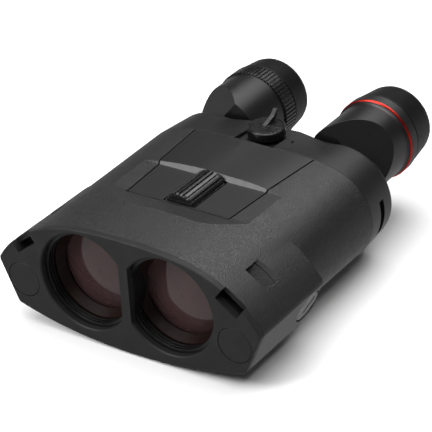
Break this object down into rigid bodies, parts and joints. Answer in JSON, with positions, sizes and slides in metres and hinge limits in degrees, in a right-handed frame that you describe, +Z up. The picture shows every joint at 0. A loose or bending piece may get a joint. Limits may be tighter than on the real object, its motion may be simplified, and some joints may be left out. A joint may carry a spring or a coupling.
{
  "type": "binoculars",
  "caption": "Image-stabilised binoculars: wide rubber-clad body with flat front plate, swinging offset eyepieces, twist-up eyecups, centre focus roller and mode dial.",
  "frame": {"origin": "Under the middle of the bounding box, on the plane the binoculars stand on (the bottom cover's underside).", "axes": "+Z up, objectives face -Y, eyepieces face +Y, +X is the user's own left-hand side. Y runs along both optical paths."},
  "size_m": [0.1364, 0.1782, 0.0634],
  "materials": {
    "armour": "fine pebble-grained black rubber, matt",
    "satin_plastic": "smooth charcoal plastic, satin",
    "front_plastic": "flat dark plastic, matt",
    "shell_plastic": "moulded black plastic, matt",
    "turret_paint": "fine semi-matt black paint on cast alloy",
    "cup_rubber": "smooth matt rubber",
    "knob_plastic": "black plastic with a soft sheen",
    "red_anodised": "red anodised, satin",
    "lens_glass": "multi-coated, faint mauve cast",
    "plain_glass": "clear, coated",
    "bezel_metal": "blackened metal with a brown cast",
    "frame_alloy": "machined, dull",
    "steel": "ground steel",
    "brass": "turned brass",
    "board": "green circuit board",
    "cell": "plain printed sleeve over steel"
  },
  "bodies": {
    "housing": {"upper_shell": "shell_plastic", "lower_shell": "shell_plastic", "rubber_armour": "armour", "top_panel": "satin_plastic", "side_panel_left": "satin_plastic", "side_panel_right": "satin_plastic", "rear_housing": "satin_plastic", "front_plate": "front_plastic", "bottom_cover": "satin_plastic", "cover_screws": "steel", "tripod_bush": "brass", "strap_lugs": "armour", "battery_tube_left": "shell_plastic", "battery_tube_right": "shell_plastic", "battery_cell_left": "cell", "battery_cell_right": "cell", "objective_housing_left": "shell_plastic", "objective_housing_right": "shell_plastic", "retaining_ring_left": "bezel_metal", "retaining_ring_right": "bezel_metal", "objective_lens_left": "lens_glass", "objective_lens_right": "lens_glass", "focus_bracket": "frame_alloy", "chassis": "frame_alloy", "prism_blocks": "plain_glass", "control_board": "board"},
    "battery_contact_left": {"battery_contact_left": "steel"},
    "battery_cap_left": {"battery_cap_left": "front_plastic"},
    "battery_contact_right": {"battery_contact_right": "steel"},
    "battery_cap_right": {"battery_cap_right": "front_plastic"},
    "focus_wheel": {"focus_roller": "knob_plastic", "focus_shaft": "steel"},
    "focus_slide": {"focus_carriage": "frame_alloy", "focusing_lens_left": "plain_glass", "focusing_lens_right": "plain_glass"},
    "pitch_gimbal": {"pitch_frame": "frame_alloy", "pitch_glass_left": "plain_glass", "pitch_glass_right": "plain_glass"},
    "yaw_gimbal_left": {"yaw_frame_left": "frame_alloy", "yaw_glass_left": "plain_glass"},
    "yaw_gimbal_right": {"yaw_frame_right": "frame_alloy", "yaw_glass_right": "plain_glass"},
    "dial": {"mode_dial": "knob_plastic", "dial_grip": "knob_plastic"},
    "lock_left": {"side_lock_left": "knob_plastic"},
    "lock_right": {"side_lock_right": "knob_plastic"},
    "eyepiece_left": {"turret_left": "turret_paint", "rhomboid_prism_left": "plain_glass", "eye_lens_left": "lens_glass", "red_ring": "red_anodised", "eyepiece_band": "satin_plastic"},
    "eyepiece_right": {"turret_right": "turret_paint", "rhomboid_prism_right": "plain_glass", "eye_lens_right": "lens_glass"},
    "diopter": {"diopter_ring": "knob_plastic"},
    "cup_slide_left": {"eyecup_guide_left": "shell_plastic"},
    "cup_slide_right": {"eyecup_guide_right": "shell_plastic"},
    "cup_left": {"eyecup_left": "cup_rubber"},
    "cup_right": {"eyecup_right": "cup_rubber"}
  },
  "joints": [
    {"name": "eyepiece_swing_left", "type": "hinge", "parent": "housing", "child": "eyepiece_left", "pos_m": [0.0354, 0.0359, 0.0277], "axis": [0, 1, 0], "range_deg": [-30, 16]},
    {"name": "eyepiece_swing_right", "type": "hinge", "parent": "housing", "child": "eyepiece_right", "pos_m": [-0.0354, 0.0359, 0.0277], "axis": [0, 1, 0], "range_deg": [-16, 30]},
    {"name": "focus_turn", "type": "hinge", "parent": "housing", "child": "focus_wheel", "pos_m": [0, -0.0326, 0.049], "axis": [0, 1, 0], "range_deg": [-150, 150]},
    {"name": "focus_travel", "type": "slide", "parent": "housing", "child": "focus_slide", "axis": [0, 1, 0], "range_m": [-0.0025, 0.0025]},
    {"name": "stabiliser_pitch", "type": "hinge", "parent": "housing", "child": "pitch_gimbal", "pos_m": [0, -0.0606, 0.03], "axis": [1, 0, 0], "range_deg": [-2, 2], "stiffness_Nm_per_rad": 0.05},
    {"name": "stabiliser_yaw_left", "type": "hinge", "parent": "housing", "child": "yaw_gimbal_left", "pos_m": [0.0216, -0.0529, 0.03], "axis": [0, 0, 1], "range_deg": [-2, 2], "stiffness_Nm_per_rad": 0.02},
    {"name": "stabiliser_yaw_right", "type": "hinge", "parent": "housing", "child": "yaw_gimbal_right", "pos_m": [-0.0216, -0.0529, 0.03], "axis": [0, 0, 1], "range_deg": [-2, 2], "stiffness_Nm_per_rad": 0.02},
    {"name": "mode_turn", "type": "hinge", "parent": "housing", "child": "dial", "pos_m": [0, 0.0261, 0.0559], "axis": [0, 0, 1], "range_deg": [0, 60]},
    {"name": "lock_turn_left", "type": "hinge", "parent": "housing", "child": "lock_left", "pos_m": [0.0644, -0.0461, 0.01993], "axis": [0.9205, 0, -0.3907], "range_deg": [0, 90]},
    {"name": "contact_travel_left", "type": "slide", "parent": "housing", "child": "battery_contact_left", "axis": [0, -1, 0], "range_m": [0, 0.002]},
    {"name": "cap_turn_left", "type": "hinge", "parent": "battery_contact_left", "child": "battery_cap_left", "pos_m": [0.0553, -0.0878, 0.0219], "axis": [0, -1, 0], "range_deg": [0, 360]},
    {"name": "cup_travel_left", "type": "slide", "parent": "eyepiece_left", "child": "cup_slide_left", "axis": [0, 1, 0], "range_m": [0, 0.008]},
    {"name": "cup_twist_left", "type": "hinge", "parent": "cup_slide_left", "child": "cup_left", "pos_m": [0.03377, 0.0809, 0.0407], "axis": [0, 1, 0], "range_deg": [0, 90]},
    {"name": "lock_turn_right", "type": "hinge", "parent": "housing", "child": "lock_right", "pos_m": [-0.0644, -0.0461, 0.01993], "axis": [-0.9205, 0, -0.3907], "range_deg": [0, 90]},
    {"name": "contact_travel_right", "type": "slide", "parent": "housing", "child": "battery_contact_right", "axis": [0, -1, 0], "range_m": [0, 0.002]},
    {"name": "cap_turn_right", "type": "hinge", "parent": "battery_contact_right", "child": "battery_cap_right", "pos_m": [-0.0553, -0.0878, 0.0219], "axis": [0, -1, 0], "range_deg": [0, 360]},
    {"name": "cup_travel_right", "type": "slide", "parent": "eyepiece_right", "child": "cup_slide_right", "axis": [0, 1, 0], "range_m": [0, 0.008]},
    {"name": "cup_twist_right", "type": "hinge", "parent": "cup_slide_right", "child": "cup_right", "pos_m": [-0.03377, 0.0809, 0.0407], "axis": [0, 1, 0], "range_deg": [0, 90]},
    {"name": "diopter_turn", "type": "hinge", "parent": "eyepiece_right", "child": "diopter", "pos_m": [-0.03377, 0.0694, 0.0407], "axis": [0, 1, 0], "range_deg": [-30, 30]}
  ],
  "couplings": [
    {"joint": "eyepiece_swing_right", "follows": "eyepiece_swing_left", "ratio": -1},
    {"joint": "focus_turn", "follows": "focus_travel", "rad_per_m": 1040},
    {"joint": "stabiliser_yaw_right", "follows": "stabiliser_yaw_left", "ratio": 1},
    {"joint": "cap_turn_left", "follows": "contact_travel_left", "rad_per_m": 3141},
    {"joint": "cup_twist_left", "follows": "cup_travel_left", "rad_per_m": 196},
    {"joint": "cap_turn_right", "follows": "contact_travel_right", "rad_per_m": 3141},
    {"joint": "cup_twist_right", "follows": "cup_travel_right", "rad_per_m": 196}
  ]
}
